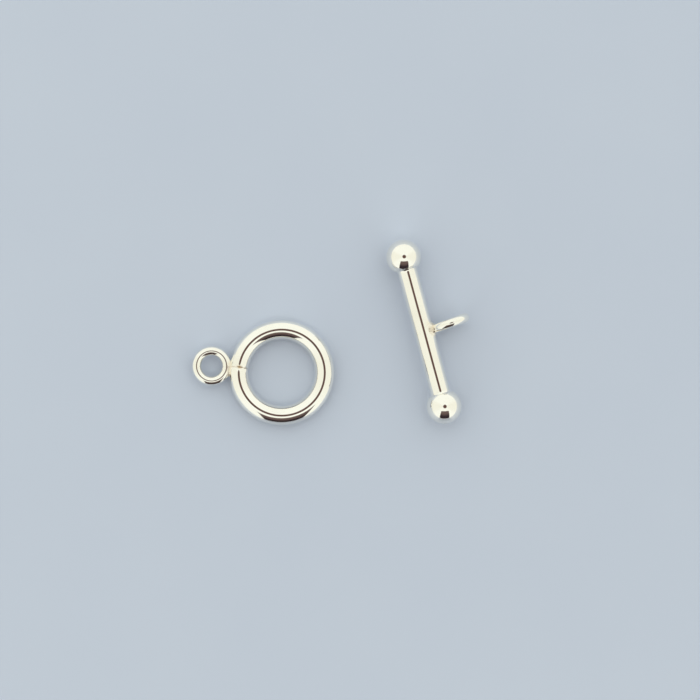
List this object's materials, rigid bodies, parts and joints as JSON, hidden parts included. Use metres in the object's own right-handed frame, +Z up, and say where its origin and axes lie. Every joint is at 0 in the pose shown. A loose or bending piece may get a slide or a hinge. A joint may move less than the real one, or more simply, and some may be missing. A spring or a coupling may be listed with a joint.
{
  "type": "toggle clasp",
  "caption": "Silver toggle clasp: a round wire ring with a soldered loop, and a ball-ended bar with its own loop that passes through the ring and turns across it to lock.",
  "frame": {"origin": "middle of the two lying halves seen from above, on the surface that they rest on", "axes": "+Z up from the surface, +X from the ring half towards the bar half, +Y along the surface towards the bar's upper ball"},
  "size_m": [0.0322, 0.0216, 0.0046],
  "materials": {
    "polished_silver": "polished sterling silver, slightly warm, with a faintly rougher, warmer skin at the soldered joints and the seam"
  },
  "bodies": {
    "root": {"toggle_ring": "polished_silver", "toggle_bar": "polished_silver"}
  },
  "joints": []
}
